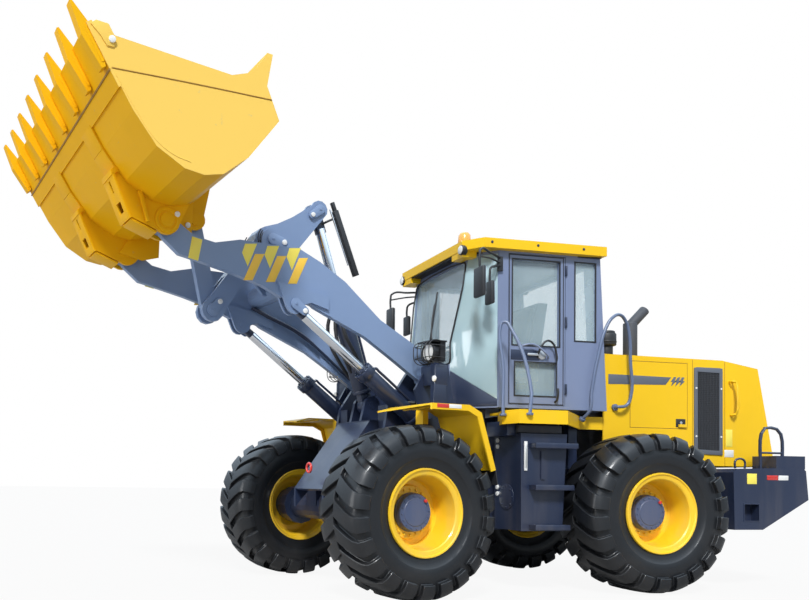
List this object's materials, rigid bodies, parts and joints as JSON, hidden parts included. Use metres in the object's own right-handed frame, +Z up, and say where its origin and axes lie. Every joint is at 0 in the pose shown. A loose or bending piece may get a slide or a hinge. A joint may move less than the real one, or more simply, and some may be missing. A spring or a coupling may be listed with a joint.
{
  "type": "articulated wheel loader",
  "caption": "Articulated wheel loader with a Z-bar bucket linkage, toothed bucket, enclosed cab, rear engine hood and counterweight, boom raised.",
  "frame": {"origin": "middle of the bottom of the bounding box, on the ground", "axes": "+X forward along the rear frame, +Y to the machine's left, +Z up"},
  "size_m": [8.5032, 3.8004, 4.572],
  "materials": {
    "frame_paint": "satin dark blue-grey paint",
    "yellow_paint": "gloss yellow paint",
    "bucket_paint": "satin deep yellow paint",
    "arm_paint": "satin slate blue-grey paint",
    "cab_paint": "satin lilac-grey paint",
    "tyre_rubber": "matt black rubber",
    "rim_paint": "gloss yellow paint",
    "chrome_rod": "polished hard chrome",
    "black_plastic": "matt black",
    "cab_glass": "clear, slightly green",
    "cast_iron": "painted dark casting",
    "seat_cloth": "dark woven cloth"
  },
  "bodies": {
    "rear_body": {"rear_frame": "frame_paint", "engine_block": "cast_iron", "counterweight": "frame_paint", "hood": "yellow_paint", "rear_grille": "black_plastic", "exhaust": "black_plastic", "air_intake": "black_plastic", "cab_shell": "cab_paint", "cab_roof": "yellow_paint", "operator_seat": "seat_cloth", "steering_column": "black_plastic", "windscreen": "cab_glass", "rear_window": "cab_glass", "corner_glass_left": "cab_glass", "side_window_left": "cab_glass", "step_tank_left": "frame_paint", "platform_left": "yellow_paint", "front_rail_left": "cab_paint", "rear_rail_left": "cab_paint", "mirror_left": "black_plastic", "corner_glass_right": "cab_glass", "side_window_right": "cab_glass", "step_tank_right": "frame_paint", "platform_right": "yellow_paint", "front_rail_right": "cab_paint", "rear_rail_right": "cab_paint", "mirror_right": "black_plastic"},
    "front_body": {"front_frame": "frame_paint", "front_axle": "frame_paint", "front_fender_left": "yellow_paint", "front_fender_right": "yellow_paint"},
    "boom": {"boom": "arm_paint"},
    "bucket": {"bucket": "bucket_paint"},
    "rocker": {"rocker": "arm_paint"},
    "bucket_link": {"bucket_link": "arm_paint"},
    "tilt_barrel": {"tilt_barrel": "frame_paint"},
    "tilt_rod": {"tilt_rod": "chrome_rod"},
    "lift_barrel_left": {"lift_barrel_left": "frame_paint"},
    "lift_rod_left": {"lift_rod_left": "chrome_rod"},
    "lift_barrel_right": {"lift_barrel_right": "frame_paint"},
    "lift_rod_right": {"lift_rod_right": "chrome_rod"},
    "rear_axle": {"rear_axle": "frame_paint"},
    "rear_wheel_left": {"rear_wheel_left": "rim_paint", "rear_tyre_left": "tyre_rubber"},
    "front_wheel_left": {"front_wheel_left": "rim_paint", "front_tyre_left": "tyre_rubber"},
    "rear_wheel_right": {"rear_wheel_right": "rim_paint", "rear_tyre_right": "tyre_rubber"},
    "front_wheel_right": {"front_wheel_right": "rim_paint", "front_tyre_right": "tyre_rubber"},
    "cab_door_left": {"cab_door_left": "cab_paint", "door_glass_left": "cab_glass"},
    "hood_door_left": {"hood_door_left": "yellow_paint"},
    "cab_door_right": {"cab_door_right": "cab_paint", "door_glass_right": "cab_glass"},
    "hood_door_right": {"hood_door_right": "yellow_paint"}
  },
  "joints": [
    {"name": "steering", "type": "hinge", "parent": "rear_body", "child": "front_body", "pos_m": [-0.73057, -0.4777, 0.95], "axis": [0, 0, 1], "range_deg": [-45.94, 24.06]},
    {"name": "boom_lift", "type": "hinge", "parent": "front_body", "child": "boom", "pos_m": [0.10398, -0.31638, 2.13], "axis": [0.1898, -0.9818, 0], "range_deg": [-61.5, 16.4]},
    {"name": "bucket_tilt", "type": "hinge", "parent": "boom", "child": "bucket", "pos_m": [2.91397, 0.22677, 3.318], "axis": [-0.1898, 0.9818, 0], "range_deg": [-46, 118]},
    {"name": "rocker_swing", "type": "hinge", "parent": "boom", "child": "rocker", "pos_m": [1.64545, -0.01843, 3.449], "axis": [-0.1898, 0.9818, 0], "range_deg": [-42.98, 17.06]},
    {"name": "link_swing", "type": "hinge", "parent": "bucket", "child": "bucket_link", "pos_m": [2.41618, 0.13055, 3.56], "axis": [-0.1898, 0.9818, 0], "range_deg": [-71.3, 28.1]},
    {"name": "tilt_cylinder_swing", "type": "hinge", "parent": "front_body", "child": "tilt_barrel", "pos_m": [0.4378, -0.25186, 1.87], "axis": [0.1898, -0.9818, 0], "range_deg": [-62.92, 17.15]},
    {"name": "tilt_cylinder_stroke", "type": "slide", "parent": "tilt_barrel", "child": "tilt_rod", "axis": [0.3057, 0.0591, 0.9503], "range_m": [-0.4169, 0.1656]},
    {"name": "lift_cylinder_swing_left", "type": "hinge", "parent": "front_body", "child": "lift_barrel_left", "pos_m": [0.04395, 0.25766, 1.63], "axis": [0.1898, -0.9818, 0], "range_deg": [-59.54, 16.24]},
    {"name": "lift_cylinder_stroke_left", "type": "slide", "parent": "lift_barrel_left", "child": "lift_rod_left", "axis": [0.7945, 0.1536, 0.5875], "range_m": [-0.4934, 0.1352]},
    {"name": "lift_cylinder_swing_right", "type": "hinge", "parent": "front_body", "child": "lift_barrel_right", "pos_m": [0.2622, -0.87145, 1.63], "axis": [0.1898, -0.9818, 0], "range_deg": [-59.54, 16.24]},
    {"name": "lift_cylinder_stroke_right", "type": "slide", "parent": "lift_barrel_right", "child": "lift_rod_right", "axis": [0.7945, 0.1536, 0.5875], "range_m": [-0.4934, 0.1352]},
    {"name": "rear_axle_oscillation", "type": "hinge", "parent": "rear_body", "child": "rear_axle", "pos_m": [-2.18057, -0.4777, 0.8], "axis": [1, 0, 0], "range_deg": [-10, 10]},
    {"name": "rear_wheel_left_spin", "type": "hinge", "parent": "rear_axle", "child": "rear_wheel_left", "pos_m": [-2.18057, 0.6473, 0.8], "axis": [0, 1, 0], "continuous": true},
    {"name": "front_wheel_left_spin", "type": "hinge", "parent": "front_body", "child": "front_wheel_left", "pos_m": [0.50903, 0.90773, 0.8], "axis": [-0.1898, 0.9818, 0], "continuous": true},
    {"name": "rear_wheel_right_spin", "type": "hinge", "parent": "rear_axle", "child": "rear_wheel_right", "pos_m": [-2.18057, -1.6027, 0.8], "axis": [0, 1, 0], "continuous": true},
    {"name": "front_wheel_right_spin", "type": "hinge", "parent": "front_body", "child": "front_wheel_right", "pos_m": [0.93604, -1.30138, 0.8], "axis": [-0.1898, 0.9818, 0], "continuous": true},
    {"name": "cab_door_left_hinge", "type": "hinge", "parent": "rear_body", "child": "cab_door_left", "pos_m": [-1.52357, 0.3283, 2.665], "axis": [0, 0, 1], "range_deg": [0, 95]},
    {"name": "hood_door_left_hinge", "type": "hinge", "parent": "rear_body", "child": "hood_door_left", "pos_m": [-2.75807, 0.2143, 2.418], "axis": [1, 0, 0], "range_deg": [0, 75]},
    {"name": "cab_door_right_hinge", "type": "hinge", "parent": "rear_body", "child": "cab_door_right", "pos_m": [-1.52357, -1.2837, 2.665], "axis": [0, 0, -1], "range_deg": [0, 95]},
    {"name": "hood_door_right_hinge", "type": "hinge", "parent": "rear_body", "child": "hood_door_right", "pos_m": [-2.75807, -1.1697, 2.418], "axis": [-1, 0, 0], "range_deg": [0, 75]}
  ],
  "couplings": [
    {"joint": "rocker_swing", "follows": "bucket_tilt", "ratio": -0.36},
    {"joint": "link_swing", "follows": "bucket_tilt", "ratio": -0.6},
    {"joint": "tilt_cylinder_swing", "follows": "boom_lift", "ratio": 1.015},
    {"joint": "tilt_cylinder_stroke", "follows": "bucket_tilt", "m_per_rad": -0.2},
    {"joint": "lift_cylinder_swing_left", "follows": "boom_lift", "ratio": 0.96},
    {"joint": "lift_cylinder_stroke_left", "follows": "boom_lift", "m_per_rad": 0.455},
    {"joint": "lift_cylinder_swing_right", "follows": "boom_lift", "ratio": 0.96},
    {"joint": "lift_cylinder_stroke_right", "follows": "boom_lift", "m_per_rad": 0.455}
  ]
}
